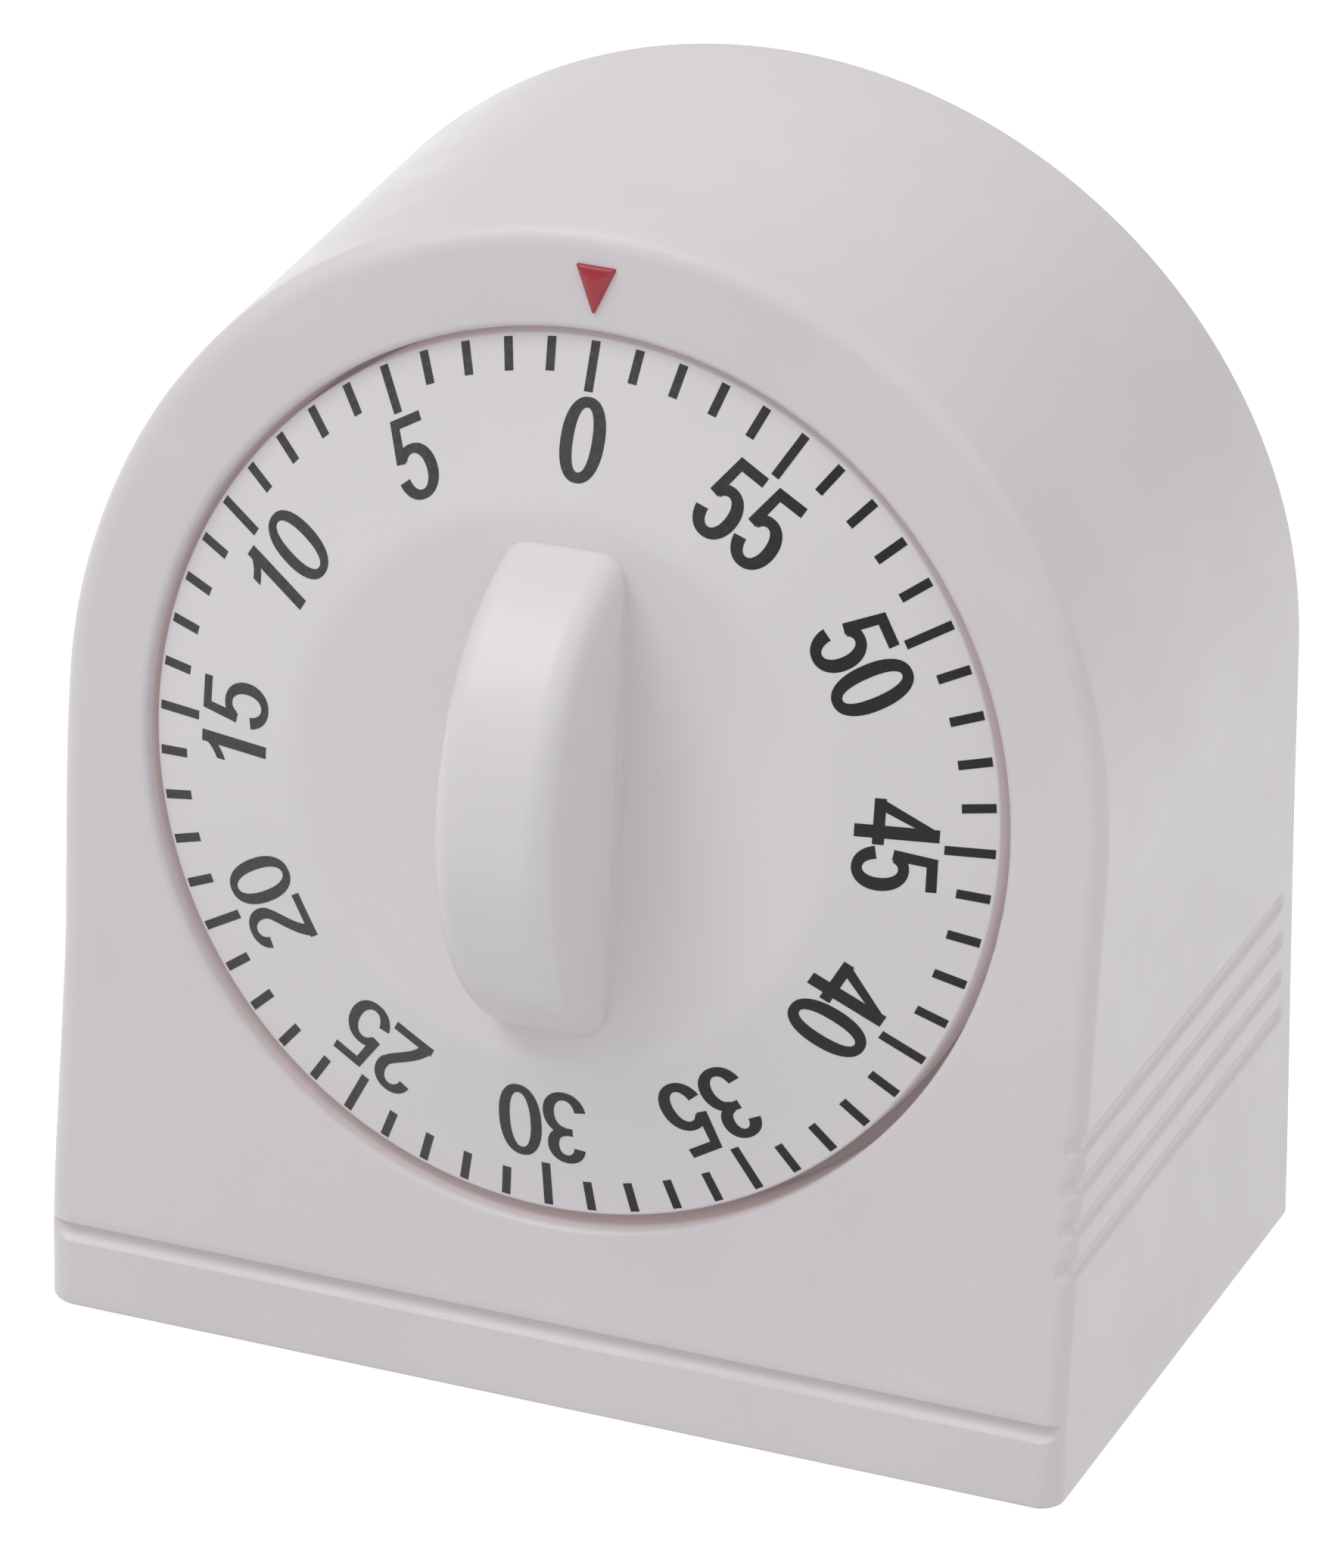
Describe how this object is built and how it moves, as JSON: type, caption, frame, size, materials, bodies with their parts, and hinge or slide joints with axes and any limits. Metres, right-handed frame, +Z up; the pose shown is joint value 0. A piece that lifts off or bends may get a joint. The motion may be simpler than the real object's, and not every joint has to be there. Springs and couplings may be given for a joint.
{
  "type": "kitchen timer",
  "caption": "Wind-up kitchen timer: arched free-standing case with a leaning face, a turning minute dial with a bar grip, a red pointer and a clockwork movement with a bell inside.",
  "frame": {"origin": "on the table, midway between the sides, straight below the centre of the dial marks", "axes": "+X to the right seen from the front, +Y from the front to the back, +Z up"},
  "size_m": [0.0796, 0.0541, 0.0856],
  "materials": {
    "case_plastic": "off-white moulded plastic with a fine matt texture",
    "cover_plastic": "off-white moulded plastic",
    "dial_plastic": "off-white moulded plastic, dark printed marks on the ring",
    "red_plastic": "glossy red moulding",
    "steel": "bright steel",
    "spring_steel": "blued spring steel",
    "bell_steel": "plated pressed steel",
    "brass": "plain brass"
  },
  "bodies": {
    "case": {"case_shell": "case_plastic", "back_cover": "cover_plastic", "case_screws": "steel", "pointer": "red_plastic", "dial_washer": "brass", "mainspring": "spring_steel", "spring_post": "steel", "front_plate": "brass", "back_plate": "brass", "pillars": "steel", "pillar_nuts": "steel", "movement_screws": "steel", "hammer_spring": "spring_steel", "bell": "bell_steel", "bell_post": "brass", "bell_screw": "steel"},
    "dial": {"dial": "dial_plastic", "main_arbor": "steel", "ratchet_wheel": "brass", "strike_cam": "brass"},
    "great_wheel": {"great_wheel": "brass", "click": "steel"},
    "second_wheel": {"second_arbor": "steel", "second_wheel": "brass"},
    "third_wheel": {"third_arbor": "steel", "third_wheel": "brass"},
    "escape_wheel": {"escape_arbor": "steel", "escape_wheel": "brass"},
    "verge": {"verge": "steel", "verge_arbor": "steel"},
    "hammer": {"hammer_arbor": "steel", "hammer_arm": "steel", "hammer_tail": "steel"}
  },
  "joints": [
    {"name": "dial_turn", "type": "hinge", "parent": "case", "child": "dial", "pos_m": [0, 0.00789, 0.04451], "axis": [0, 0.9869, -0.1616], "range_deg": [0, 354], "deforming": ["mainspring", "click"]},
    {"name": "great_spin", "type": "hinge", "parent": "case", "child": "great_wheel", "pos_m": [0, 0.02072, 0.04241], "axis": [0, 0.9869, -0.1616], "continuous": true},
    {"name": "second_spin", "type": "hinge", "parent": "case", "child": "second_wheel", "pos_m": [-0.01732, 0.01713, 0.03286], "axis": [0, 0.9869, -0.1616], "continuous": true},
    {"name": "third_spin", "type": "hinge", "parent": "case", "child": "third_wheel", "pos_m": [-0.01052, 0.01227, 0.02172], "axis": [0, 0.9869, -0.1616], "continuous": true},
    {"name": "escape_spin", "type": "hinge", "parent": "case", "child": "escape_wheel", "pos_m": [0.00051, 0.00992, 0.02408], "axis": [0, 0.9869, -0.1616], "continuous": true},
    {"name": "verge_rock", "type": "hinge", "parent": "case", "child": "verge", "pos_m": [0.01213, 0.00959, 0.02206], "axis": [0, 0.9869, -0.1616], "range_deg": [-1.5, 1.5]},
    {"name": "hammer_strike", "type": "hinge", "parent": "case", "child": "hammer", "pos_m": [0.0215, 0.01792, 0.04388], "axis": [0, 0.9869, -0.1616], "range_deg": [-8, 0], "deforming": ["hammer_spring"]}
  ],
  "couplings": [
    {"joint": "second_spin", "follows": "great_spin", "ratio": -9},
    {"joint": "third_spin", "follows": "great_spin", "ratio": 67.5},
    {"joint": "escape_spin", "follows": "great_spin", "ratio": -472.5}
  ]
}
